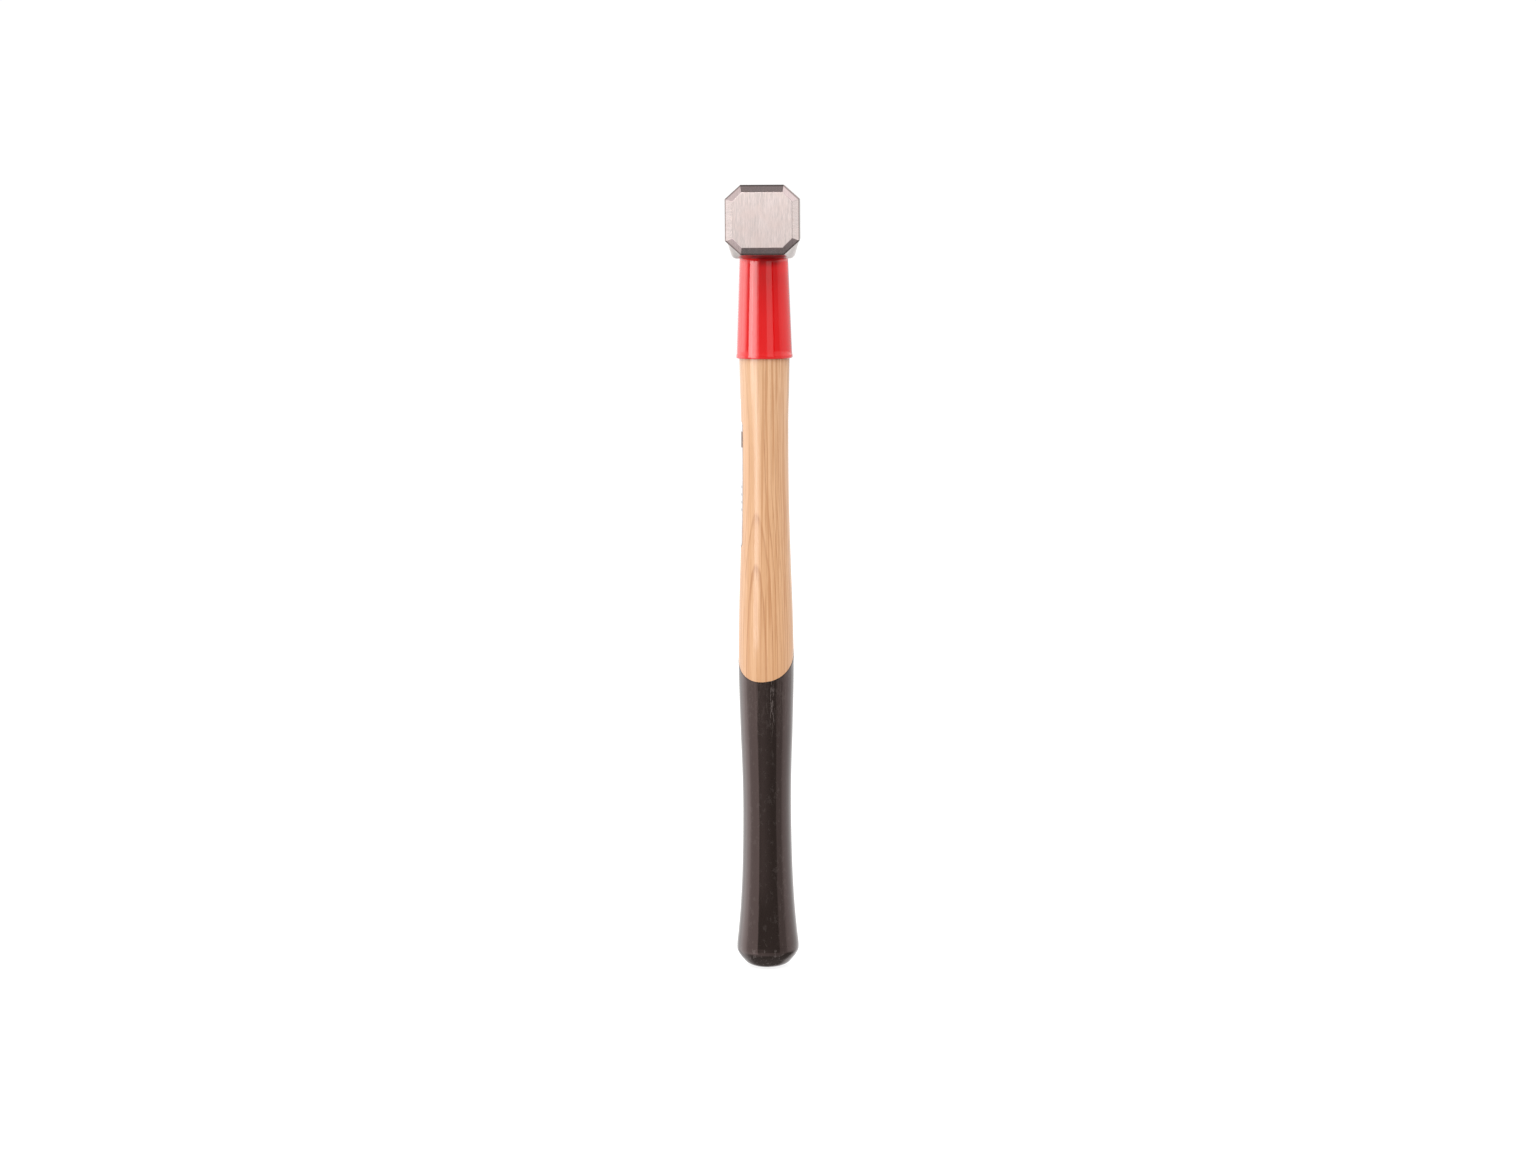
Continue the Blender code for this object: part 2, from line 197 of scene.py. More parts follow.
def cut_away(item, *tools):
    """Subtract cutters from a piece for good, and remove them."""
    for tool in tools:
        cut(item, tool)
    freeze(item)
    for tool in tools:
        bpy.data.objects.remove(tool, do_unlink=True)


def settle(item, node):
    """Tie a finished piece to the frame in place of its CAD node."""
    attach(item, "root")
    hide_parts(node)


def ease(share):
    """Smooth step from 0 to 1."""
    share = min(max(share, 0.0), 1.0)
    return share * share * (3.0 - 2.0 * share)


# ---------------------------------------------------------------- handle shape
def oval_point(half_x, half_y, turn):
    """A point of the rounded oval at an angle, in X and Y."""
    power = 2.0 / OVAL_POWER
    across = math.cos(turn)
    along = math.sin(turn)
    x = half_x * math.copysign(abs(across) ** power, across)
    y = half_y * math.copysign(abs(along) ** power, along)
    return x, y


def oval_ring(half_x, half_y, height):
    """A level ring of the rounded oval."""
    ring = []
    for k in range(SEGMENTS):
        x, y = oval_point(half_x, half_y, 2.0 * math.pi * k / SEGMENTS)
        ring.append((x, y, height))
    return ring


def station_slope(index, column):
    """Slope of a handle column at one station, taken across its neighbours."""
    before = HANDLE_STATIONS[max(index - 1, 0)]
    after = HANDLE_STATIONS[min(index + 1, len(HANDLE_STATIONS) - 1)]
    return (after[column] - before[column]) / (after[0] - before[0])


def handle_half(height, column):
    """Half width (column 1) or half depth (column 2) of the finished handle at a height."""
    height = min(max(height, HANDLE_STATIONS[0][0]), HANDLE_STATIONS[-1][0])
    index = 0
    while index < len(HANDLE_STATIONS) - 2 and HANDLE_STATIONS[index + 1][0] < height:
        index += 1
    low = HANDLE_STATIONS[index]
    high = HANDLE_STATIONS[index + 1]
    span = high[0] - low[0]
    t = (height - low[0]) / span
    start = station_slope(index, column) * span
    end = station_slope(index + 1, column) * span
    return (
        low[column] * (2 * t**3 - 3 * t**2 + 1)
        + start * (t**3 - 2 * t**2 + t)
        + high[column] * (3 * t**2 - 2 * t**3)
        + end * (t**3 - t**2)
    )


def dip_lean(height):
    """How far a ring at a height leans into the dip plane."""
    return ease(1.0 - abs(height - DIP_HEIGHT) / DIP_REACH)


def grip_ring(height, inset):
    """A ring on the handle's surface, moved in by inset, leaning as its height asks."""
    lean = dip_lean(height)
    ring = []
    for k in range(SEGMENTS):
        turn = 2.0 * math.pi * k / SEGMENTS
        level = height
        for _ in range(4):
            half_x = handle_half(level, 1) - inset
            half_y = handle_half(level, 2) - inset
            x, y = oval_point(half_x, half_y, turn)
            level = height + lean * (DIP_SLOPE_Y * y + DIP_SLOPE_X * x)
        ring.append((x, y, level))
    return ring


def spread(low, high, count):
    """Evenly spaced heights from low to high."""
    return [low + (high - low) * k / (count - 1) for k in range(count)]


# ---------------------------------------------------------------- shader helpers
class Graph:
    """Short ways to add and join nodes."""

    def __init__(self, tree):
        self.tree = tree

    def add(self, kind, inputs=None, **settings):
        """A node with its settings and inputs; an input may be a number, a colour or a socket."""
        node = self.tree.nodes.new(kind)
        for name, value in settings.items():
            setattr(node, name, value)
        for name, value in (inputs or {}).items():
            self.feed(node.inputs[name], value)
        return node

    def feed(self, socket, value):
        """Put a number, a colour or another node's socket into a socket."""
        if isinstance(value, bpy.types.NodeSocket):
            self.tree.links.new(value, socket)
        else:
            socket.default_value = value

    def math(self, operation, *values):
        """A Math node's value."""
        node = self.add("ShaderNodeMath", operation=operation)
        for k, value in enumerate(values):
            self.feed(node.inputs[k], value)
        return node.outputs[0]

    def position(self):
        """Place on the piece, in metres in the hammer's frame."""
        return self.add("ShaderNodeTexCoord").outputs["Object"]

    def scaled(self, vector, scale):
        """A position stretched by three factors."""
        return self.add("ShaderNodeMapping", {"Vector": vector, "Scale": scale}).outputs[0]

    def split(self, vector):
        """X, Y and Z of a vector."""
        return tuple(self.add("ShaderNodeSeparateXYZ", {0: vector}).outputs)

    def noise(self, vector, scale=1.0, detail=3.0, roughness=0.5):
        """Noise from 0 to 1."""
        inputs = {"Vector": vector, "Scale": scale, "Detail": detail, "Roughness": roughness}
        return self.add("ShaderNodeTexNoise", inputs).outputs[0]

    def ranged(self, value, low, high, out_low=0.0, out_high=1.0):
        """A value taken smoothly from one range to another, held at the ends."""
        inputs = {
            "Value": value,
            "From Min": low,
            "From Max": high,
            "To Min": out_low,
            "To Max": out_high,
        }
        return self.add("ShaderNodeMapRange", inputs, interpolation_type="SMOOTHSTEP").outputs[0]

    def product(self, *values):
        """Values multiplied together."""
        total = values[0]
        for value in values[1:]:
            total = self.math("MULTIPLY", total, value)
        return total

    def window(self, value, low, high, soft):
        """1 between low and high, falling to 0 over soft on each side."""
        rise = self.ranged(value, low - soft, low + soft)
        fall = self.ranged(value, high - soft, high + soft, 1.0, 0.0)
        return self.product(rise, fall)

    def mixed(self, share, first, second):
        """A colour between two colours."""
        node = self.add("ShaderNodeMix", data_type="RGBA")
        self.feed(node.inputs["Factor"], share)
        self.feed(node.inputs["A"], first)
        self.feed(node.inputs["B"], second)
        return [s for s in node.outputs if s.type == "RGBA"][0]

    def ramp(self, value, stops):
        """A colour ramp with stops of (place, colour)."""
        node = self.add("ShaderNodeValToRGB", {"Fac": value})
        elements = node.color_ramp.elements
        while len(elements) < len(stops):
            elements.new(0.5)
        for element, (place, colour) in zip(elements, stops):
            element.position = place
            element.color = colour
        return node.outputs[0]

    def bump(self, height, strength, distance, normal=None):
        """A bumped normal."""
        node = self.add("ShaderNodeBump", {"Height": height, "Strength": strength, "Distance": distance})
        if normal is not None:
            self.feed(node.inputs["Normal"], normal)
        return node.outputs[0]


def rgba(red, green, blue):
    """An opaque colour."""
    return (red, green, blue, 1.0)


def new_material(name, **sockets):
    """A Principled material with uniform values set on the shader's own sockets."""
    material = bpy.data.materials.new(name)
    material.use_nodes = True
    shader = material.node_tree.nodes["Principled BSDF"]
    for socket, value in sockets.items():
        shader.inputs[socket.replace("_", " ")].default_value = value
    return material, Graph(material.node_tree), shader


# ---------------------------------------------------------------- materials
def finish(graph, shader, colour, roughness, normal):
    """Join a material's colour, roughness and normal to its shader."""
    graph.feed(shader.inputs["Base Color"], colour)
    graph.feed(shader.inputs["Roughness"], roughness)
    graph.feed(shader.inputs["Normal"], normal)


def bevel_rim(graph, place, strength, reach):
    """Share of dark on the outer edge of a face bevel, fading out over a part of its depth."""
    along = graph.math("ABSOLUTE", graph.split(place)[1])
    from_edge = graph.math("SUBTRACT", along, HEAD_HALF_LENGTH - FACE_BEVEL_DEPTH)
    return graph.ranged(from_edge, FACE_BEVEL_DEPTH * 0.06, FACE_BEVEL_DEPTH * reach, strength, 0.0)


def brushed_steel(name, tone, lines, roughness, line_depth, anisotropy=0.0, contrast=0.09, dark_rim=None):
    """Ground steel: fine lines, faint blotches and a warm cast.

    `lines` stretches the grinding pattern. `dark_rim` darkens the outer edge of the face bevels: how
    strongly, and over what part of the bevel.
    """
    material, graph, shader = new_material(name, Metallic=1.0, Anisotropic=anisotropy)
    place = graph.position()
    fine = graph.noise(graph.scaled(place, lines), detail=4.0, roughness=0.65)
    wide = graph.noise(graph.scaled(place, tuple(s * 0.28 for s in lines)), detail=2.0)
    blotch = graph.noise(place, scale=160.0, detail=3.0)
    streak = graph.math("MULTIPLY_ADD", wide, 0.25, graph.math("MULTIPLY", fine, 0.75))
    dark = rgba(*(channel * (1.0 - contrast) for channel in tone))
    light = rgba(*(min(channel * (1.0 + contrast), 1.0) for channel in tone))
    colour = graph.mixed(graph.ranged(streak, 0.30, 0.70), dark, light)
    warm = rgba(tone[0] * 1.03, tone[1] * 0.96, tone[2] * 0.93)
    colour = graph.mixed(graph.ranged(blotch, 0.35, 0.75, 0.0, 0.45), colour, warm)
    if dark_rim:
        colour = graph.mixed(bevel_rim(graph, place, *dark_rim), colour, rgba(0.22, 0.17, 0.16))
    gloss = graph.ranged(streak, 0.3, 0.7, roughness - 0.03, roughness + 0.03)
    finish(graph, shader, colour, gloss, graph.bump(streak, line_depth, 0.00004))
    if anisotropy:
        tangent = graph.add("ShaderNodeTangent", direction_type="RADIAL", axis="Z")
        graph.feed(shader.inputs["Tangent"], tangent.outputs[0])
    return material


PAINTED_REFLECTION_HEIGHTS = (BOSS_BOTTOM + 0.0010, BOSS_BOTTOM + 0.0042)  # from full painted reflection of the red sleeve up to none
PAINTED_REFLECTION_ENDS = (0.0100, 0.0130)  # from full painted reflection out to none, on both sides of the middle
PAINTED_REFLECTION_TURN = (-0.0095, -0.0045)  # X over which the painted reflection turns from bright red, painted light, to dark red, painted shade


def with_painted_sleeve_reflection(graph, place, colour):
    """Steel colour with a painted reflection of the red sleeve along the boss's lower rim, brighter to the
    left as painted light and dark to the right as painted shade.
    """
    x, _, z = graph.split(place)
    over_sleeve = graph.ranged(z, *PAINTED_REFLECTION_HEIGHTS, 1.0, 0.0)
    across = graph.ranged(graph.math("ABSOLUTE", x), *PAINTED_REFLECTION_ENDS, 1.0, 0.0)
    shade_to_right = graph.ranged(x, *PAINTED_REFLECTION_TURN)
    red = graph.mixed(shade_to_right, rgba(0.42, 0.042, 0.036), rgba(0.135, 0.0010, 0.0030))
    return graph.mixed(graph.product(over_sleeve, across), colour, red)


def forged_steel():
    """Sides of the head: satin steel with shallow forging dimples under long grinding lines, and a painted
    reflection of the red sleeve on the boss's lower rim.
    """
    material, graph, shader = new_material("forged_steel", Metallic=1.0)
    place = graph.position()
    lines = graph.noise(graph.scaled(place, (3200.0, 120.0, 3200.0)), detail=4.0, roughness=0.6)
    dimples = graph.noise(place, scale=210.0, detail=4.0, roughness=0.6)
    blotch = graph.noise(place, scale=60.0, detail=3.0)
    colour = graph.mixed(graph.ranged(lines, 0.3, 0.7), rgba(0.60, 0.55, 0.53), rgba(0.70, 0.645, 0.625))
    colour = graph.mixed(graph.ranged(blotch, 0.4, 0.75, 0.0, 0.5), colour, rgba(0.58, 0.525, 0.505))
    # painted reflection of the red sleeve, with painted shade, along the boss's lower rim
    colour = with_painted_sleeve_reflection(graph, place, colour)
    gloss = graph.ranged(blotch, 0.3, 0.7, 0.40, 0.50)
    dimpled = graph.bump(dimples, 0.25, 0.0003)
    finish(graph, shader, colour, gloss, graph.bump(lines, 0.2, 0.00004, dimpled))
    return material


PITH = (0.050, 0.122)  # middle of the growth rings, in X and Y, far outside the handle
RING_SPACING = 0.0015
RING_PHASE = 0.64  # part of a ring that the whole pattern is turned on by
RUNOUT_TOP = 0.252  # the grain runs out of the handle's front from here down to the next height
RUNOUT_BOTTOM = 0.209
RUNOUT_SLOPE = 0.040
LOW_SLOPE = 0.0060  # gentler run-out below that
SWAY = 0.0016  # how far a slow wander along the grain moves a ring
RIPPLE = 0.0004  # and a quick one
PALER_WOOD = (0.19, 0.31)  # heights over which the wood turns paler
STREAKS_SHADED_TO_RIGHT = (-0.005, 0.002)  # X over which the darker streaks grow stronger toward +X, painted shade on the handle's right side
END_GRAIN = (TENON_TOP - 0.0012, TENON_TOP - 0.0004)  # heights over which the end grain darkens
RING_TONES = (
    (0.00, rgba(0.44, 0.205, 0.094)),
    (0.07, rgba(0.47, 0.225, 0.105)),
    (0.20, rgba(0.61, 0.335, 0.175)),
    (0.91, rgba(0.66, 0.378, 0.203)),
    (1.00, rgba(0.47, 0.225, 0.105)),
)


def growth_rings(graph, place):
    """Place within a growth ring, from 0 at its inner edge to 1 at its outer edge."""
    x, y, z = graph.split(place)
    sway = graph.noise(graph.scaled(place, (45.0, 45.0, 6.0)), detail=2.0)
    ripple = graph.noise(graph.scaled(place, (260.0, 260.0, 22.0)), detail=2.0)
    from_x = graph.math("SUBTRACT", x, PITH[0])
    from_y = graph.math("SUBTRACT", y, PITH[1])
    squares = graph.math("ADD", graph.math("POWER", from_x, 2.0), graph.math("POWER", from_y, 2.0))
    radius = graph.math("SQRT", squares)
    runout = graph.math("MINIMUM", graph.math("SUBTRACT", z, RUNOUT_TOP), 0.0)
    runout = graph.math("MAXIMUM", runout, RUNOUT_BOTTOM - RUNOUT_TOP)
    radius = graph.math("MULTIPLY_ADD", runout, -RUNOUT_SLOPE, radius)
    low_runout = graph.math("MINIMUM", graph.math("SUBTRACT", z, RUNOUT_BOTTOM), 0.0)
    radius = graph.math("MULTIPLY_ADD", low_runout, -LOW_SLOPE, radius)
    radius = graph.math("MULTIPLY_ADD", sway, SWAY, radius)
    radius = graph.math("MULTIPLY_ADD", ripple, RIPPLE, radius)
    return graph.math("FRACT", graph.math("MULTIPLY_ADD", radius, 1.0 / RING_SPACING, RING_PHASE))


def ash_wood():
    """Lacquered ash: growth rings, and pores, fibres and darker bands drawn out along the grain, the bands
    stronger toward +X as painted shade.
    """
    material, graph, shader = new_material(
        "ash_wood", Coat_Weight=0.84, Coat_Roughness=0.10, Coat_IOR=1.5, Specular_IOR_Level=0.0
    )
    place = graph.position()
    x, _, z = graph.split(place)
    ring = growth_rings(graph, place)
    pores = graph.noise(graph.scaled(place, (2600.0, 2600.0, 90.0)), detail=3.0, roughness=0.7)
    fibre = graph.noise(graph.scaled(place, (1800.0, 1800.0, 14.0)), detail=4.0, roughness=0.7)
    shade = graph.noise(graph.scaled(place, (850.0, 850.0, 9.0)), detail=3.0, roughness=0.6)
    tone = graph.noise(graph.scaled(place, (70.0, 70.0, 7.0)), detail=2.0)
    wood = graph.ramp(ring, RING_TONES)
    paler = graph.ranged(z, *PALER_WOOD, 0.0, 0.42)
    wood = graph.mixed(paler, wood, rgba(0.80, 0.53, 0.340))
    wood = graph.mixed(graph.ranged(tone, 0.35, 0.7, 0.0, 0.35), wood, rgba(0.60, 0.320, 0.163))
    wood = graph.mixed(graph.ranged(fibre, 0.44, 0.60, 0.0, 0.40), wood, rgba(0.82, 0.52, 0.313))
    # the grain's darker streaks are real; their growth toward +X is painted shade
    shade_to_right = graph.ranged(x, *STREAKS_SHADED_TO_RIGHT, 0.34, 0.72)
    shaded = graph.product(graph.ranged(shade, 0.49, 0.59), shade_to_right)
    wood = graph.mixed(shaded, wood, rgba(0.51, 0.250, 0.118))
    early = graph.ranged(ring, 0.0, 0.30, 1.0, 0.35)
    dark_pores = graph.product(graph.ranged(pores, 0.54, 0.72), early)
    wood = graph.mixed(graph.product(dark_pores, 0.6), wood, rgba(0.35, 0.155, 0.070))
    end_grain = graph.ranged(z, *END_GRAIN, 0.0, 0.7)
    wood = graph.mixed(end_grain, wood, rgba(0.34, 0.20, 0.11))
    grain = graph.math("MULTIPLY_ADD", dark_pores, -0.6, fibre)
    finish(graph, shader, wood, graph.ranged(fibre, 0.3, 0.7, 0.42, 0.55), graph.bump(grain, 0.12, 0.00008))
    return material


PAINTED_LIGHT_HEIGHTS = (SLEEVE_TOP - 0.0120, SLEEVE_TOP)  # heights over which painted light brightens the paint toward the head
HEAD_SHADOW_HEIGHTS = (SLEEVE_TOP - 0.0055, SLEEVE_TOP - 0.0010)  # from none of the painted shadow of the head up to all of it
HEAD_SHADOW_MIDDLE = 0.0028  # X of the middle of the painted shadow of the head
HEAD_SHADOW_ENDS = (0.0036, 0.0068)  # from all of it out to none, on both sides of its middle


def red_paint():
    """Gloss enamel: slight orange peel, lifted by painted light near the head, with a painted shadow of the
    head just under it.
    """
    material, graph, shader = new_material(
        "red_paint", Coat_Weight=0.15, Coat_Roughness=0.03, Coat_IOR=1.5, Specular_IOR_Level=0.5
    )
    place = graph.position()
    x, _, z = graph.split(place)
    cloud = graph.noise(place, scale=75.0, detail=2.0)
    peel = graph.noise(place, scale=900.0, detail=1.0)
    colour = graph.mixed(cloud, rgba(0.68, 0.0110, 0.0120), rgba(0.73, 0.0150, 0.0160))
    # painted light near the head, lifting the shade under it
    colour = graph.mixed(graph.ranged(z, *PAINTED_LIGHT_HEIGHTS), colour, rgba(1.0, 0.0180, 0.0200))
    # painted shadow that the head's overhang casts on the top of the sleeve
    off_shadow = graph.math("ABSOLUTE", graph.math("SUBTRACT", x, HEAD_SHADOW_MIDDLE))
    head_shadow = graph.product(
        graph.ranged(z, *HEAD_SHADOW_HEIGHTS, 0.0, 0.72),
        graph.ranged(off_shadow, *HEAD_SHADOW_ENDS, 1.0, 0.0),
    )
    colour = graph.mixed(head_shadow, colour, rgba(0.30, 0.0030, 0.0060))
    finish(graph, shader, colour, graph.ranged(cloud, 0.3, 0.7, 0.07, 0.10), graph.bump(peel, 0.05, 0.00005))
    return material


RUBBED_FOOT = (0.003, 0.010)  # heights over which the rubbed grey fades out
SCUFFED_FOOT = (0.004, 0.016)  # heights over which the scuffs thin out
GRAIN_SHOWS = (0.095, 0.150)  # heights over which the wood's grain comes through the skin
FILLED_PORES = (0.120, 0.136)  # heights over which the filled pores appear
PORE_STREAK = (0.0018, 0.0034)  # X between which they are dense
PORE_STREAK_LEAN = 0.03


def dip_colour(graph, place, cloud, worn):
    """Brown-black, rubbed grey at the foot, with a pale streak of filled pores under the dip line."""
    x, y, z = graph.split(place)
    colour = graph.mixed(cloud, rgba(0.0140, 0.0098, 0.0082), rgba(0.0170, 0.0120, 0.0100))
    rubbed = graph.ranged(z, *RUBBED_FOOT, 0.85, 0.0)
    colour = graph.mixed(rubbed, colour, rgba(0.040, 0.032, 0.029))
    colour = graph.mixed(graph.product(worn, 0.6), colour, rgba(0.14, 0.12, 0.115))
    pores = graph.noise(graph.scaled(place, (1300.0, 1300.0, 260.0)), detail=3.0, roughness=0.7)
    leaning_x = graph.math("ADD", x, graph.math("MULTIPLY", y, PORE_STREAK_LEAN))
    streak = graph.window(leaning_x, *PORE_STREAK, 0.0006)
    pores = graph.product(
        graph.ranged(pores, 0.50, 0.62),
        graph.ranged(z, *FILLED_PORES),
        graph.math("MULTIPLY_ADD", streak, 0.88, 0.12),
    )
    return graph.mixed(pores, colour, rgba(0.135, 0.112, 0.106))


def black_dip():
    """Dipped gloss skin: the wood's grain telegraphs through it, with scuffs near the butt."""
    material, graph, shader = new_material(
        "black_dip", Specular_IOR_Level=0.78, Specular_Tint=rgba(1.0, 0.72, 0.69)
    )
    place = graph.position()
    z = graph.split(place)[2]
    grain = graph.noise(graph.scaled(place, (900.0, 900.0, 16.0)), detail=3.0)
    cloud = graph.noise(graph.scaled(place, (120.0, 120.0, 30.0)), detail=2.0)
    scuff = graph.noise(graph.scaled(place, (420.0, 420.0, 260.0)), detail=5.0, roughness=0.7)
    near_butt = graph.ranged(z, *SCUFFED_FOOT, 1.0, 0.18)
    worn = graph.product(graph.ranged(scuff, 0.55, 0.63), near_butt)
    gloss = graph.ranged(cloud, 0.3, 0.7, 0.085, 0.12)
    near_line = graph.ranged(z, *GRAIN_SHOWS, 0.25, 1.0)
    soft = graph.bump(graph.product(grain, near_line), 0.30, 0.00030)
    finish(
        graph,
        shader,
        dip_colour(graph, place, cloud, worn),
        graph.math("MULTIPLY_ADD", worn, 0.25, gloss),
        graph.bump(scuff, 0.03, 0.00010, soft),
    )
    return material


def hard_wood():
    """Sawn beech of the wedge, seen end on: short dark flecks on a tan ground."""
    material, graph, shader = new_material("hard_wood", Specular_IOR_Level=0.35)
    place = graph.position()
    flecks = graph.noise(graph.scaled(place, (2600.0, 900.0, 60.0)), detail=3.0)
    colour = graph.mixed(graph.ranged(flecks, 0.4, 0.65), rgba(0.30, 0.165, 0.085), rgba(0.42, 0.25, 0.135))
    finish(graph, shader, colour, graph.ranged(flecks, 0.3, 0.7, 0.5, 0.7), graph.bump(flecks, 0.3, 0.0001))
    return material


LABEL_BAR = (0.2745, 0.2828)  # heights of the dark bar's ends
LABEL_RULED = (0.2400, 0.2560)  # heights between which pale lines are ruled
LABEL_LINE_SPACING = 0.0040
LABEL_LINE_REACH = 0.0070  # how far the lines run to each side


def label_film():
    """Blank white film with one dark bar and pale ruled lines, and no lettering."""
    material, graph, shader = new_material("label_film", Specular_IOR_Level=0.3)
    place = graph.position()
    _, y, z = graph.split(place)
    bar = graph.window(z, *LABEL_BAR, 0.0001)
    along_spacing = graph.math("FRACT", graph.math("MULTIPLY", z, 1.0 / LABEL_LINE_SPACING))
    ruled = graph.product(
        graph.window(along_spacing, 0.30, 0.62, 0.03),
        graph.window(z, *LABEL_RULED, 0.0002),
        graph.window(y, -LABEL_LINE_REACH, LABEL_LINE_REACH, 0.0002),
    )
    fleck = graph.noise(place, scale=1500.0, detail=2.0)
    colour = graph.mixed(graph.ranged(fleck, 0.3, 0.7), rgba(0.66, 0.64, 0.65), rgba(0.70, 0.68, 0.69))
    colour = graph.mixed(ruled, colour, rgba(0.48, 0.47, 0.48))
    colour = graph.mixed(bar, colour, rgba(0.27, 0.20, 0.175))
    finish(graph, shader, colour, graph.ranged(fleck, 0.3, 0.7, 0.3, 0.4), graph.bump(fleck, 0.05, 0.00003))
    return material


def studio_floor():
    """Seamless white floor, with a glow of its own that keeps it as white as the background."""
    material, graph, shader = new_material(
        "studio_floor",
        Specular_IOR_Level=0.2,
        Roughness=0.9,
        Emission_Color=rgba(1.0, 1.0, 1.0),
        Emission_Strength=0.86,
    )
    tooth = graph.noise(graph.position(), scale=300.0, detail=3.0)
    colour = graph.mixed(tooth, rgba(0.24, 0.24, 0.24), rgba(0.25, 0.25, 0.25))
    graph.feed(shader.inputs["Base Color"], colour)
    return material


# ---------------------------------------------------------------- head
DIAGONAL_STEPS = 11
SWELL_STEPS = 18
HEAD_CREASE = 24.0  # edges of the head steeper than this many degrees are rounded and kept sharp


def octagon_section(half_width, bottom, top, cut_x, cut_z):
    """Right half of the octagonal section from the middle of the underside to the middle of the top."""
    section = [(0.0, bottom)]
    for k in range(DIAGONAL_STEPS):
        share = k / (DIAGONAL_STEPS - 1)
        section.append((half_width - cut_x * (1.0 - share), bottom + cut_z * share))
    section.append((half_width, top - cut_z))
    section.append((half_width - cut_x, top))
    section.append((0.0, top))
    return section


def boss_section():
    """Right half of the section through the eye: octagonal above, squarer and deeper below."""
    section = [(0.0, BOSS_BOTTOM)]
    fillet_turn = math.radians(75.0)
    arc_steps = DIAGONAL_STEPS - 2
    for k in range(arc_steps):
        turn = fillet_turn * k / (arc_steps - 1)
        x = BOSS_FLAT_HALF_WIDTH + BOSS_FILLET_RADIUS * math.sin(turn)
        z = BOSS_BOTTOM + BOSS_FILLET_RADIUS * (1.0 - math.cos(turn))
        section.append((x, z))
    shoulder = (HEAD_HALF_WIDTH, HEAD_BOTTOM + BOSS_SHOULDER)
    section.append(((x + shoulder[0]) / 2.0, (z + shoulder[1]) / 2.0))
    section.append(shoulder)
    section.append((HEAD_HALF_WIDTH, HEAD_TOP - CORNER_CUT_Z))
    section.append((HEAD_HALF_WIDTH - CORNER_CUT_X, HEAD_TOP))
    section.append((0.0, HEAD_TOP))
    return section


def head_ring(section, along):
    """Both halves of a section as a ring standing at a place along Y."""
    right = [(x, along, z) for x, z in section]
    left = [(-x, along, z) for x, z in reversed(section[1:-1])]
    return right + left


def blended(first, second, share):
    """A section between two sections."""
    return [(a[0] + (b[0] - a[0]) * share, a[1] + (b[1] - a[1]) * share) for a, b in zip(first, second)]


def head_rings():
    """Rings of the whole head from its -Y face to its +Y face."""
    bar = octagon_section(HEAD_HALF_WIDTH, HEAD_BOTTOM, HEAD_TOP, CORNER_CUT_X, CORNER_CUT_Z)
    face = octagon_section(
        HEAD_HALF_WIDTH - FACE_BEVEL,
        HEAD_BOTTOM + FACE_BEVEL,
        HEAD_TOP - FACE_BEVEL,
        FACE_CORNER_CUT,
        FACE_CORNER_CUT,
    )
    boss = boss_section()
    half = [(face, HEAD_HALF_LENGTH), (bar, HEAD_HALF_LENGTH - FACE_BEVEL_DEPTH)]
    for step in range(SWELL_STEPS + 1):
        share = step / SWELL_STEPS
        half.append((blended(bar, boss, ease(share)), SWELL_START + (SWELL_END - SWELL_START) * share))
    front = [head_ring(section, -along) for section, along in half]
    rear = [head_ring(section, along) for section, along in reversed(half)]
    return front + rear


FACE_FINISH = 1  # places in the list of the head's finishes; the sides have the first, 0
SIDE_BEVEL_FINISH = 2
END_BEVEL_FINISH = 3


def head_finishes():
    """Steel of the sides, of the striking faces, of their side bevels and of their other bevels; the other
    bevels get a lighter, warmer copy of the steel as painted light.
    """
    steel = (0.70, 0.605, 0.582)
    lit_warmer_steel = (0.775, 0.635, 0.63)
    up_lines = (6500.0, 300.0, 260.0)
    bevel = {"roughness": 0.22, "line_depth": 0.06}
    return (
        forged_steel(),
        brushed_steel("face_steel", steel, up_lines, 0.50, 0.2, anisotropy=0.75, contrast=0.25),
        brushed_steel("side_bevel_steel", steel, (200.0, 200.0, 2600.0), dark_rim=(0.9, 0.20), **bevel),
        # the end bevels take a lighter, warmer copy of the same steel: painted light
        brushed_steel("end_bevel_steel", lit_warmer_steel, (2600.0, 200.0, 200.0), dark_rim=(0.85, 0.32), **bevel),
    )


def paint_head_faces(head):
    """Give the striking faces, their bevels and the sides their own finish."""
    bevel_start = HEAD_HALF_LENGTH - FACE_BEVEL_DEPTH
    for face in head.data.polygons:
        out = abs(face.center.y)
        if out > HEAD_HALF_LENGTH - 0.0001:
            face.material_index = FACE_FINISH
        elif out > bevel_start:
            leans_up_or_down = abs(face.normal.z) > abs(face.normal.x)
            face.material_index = END_BEVEL_FINISH if leans_up_or_down else SIDE_BEVEL_FINISH


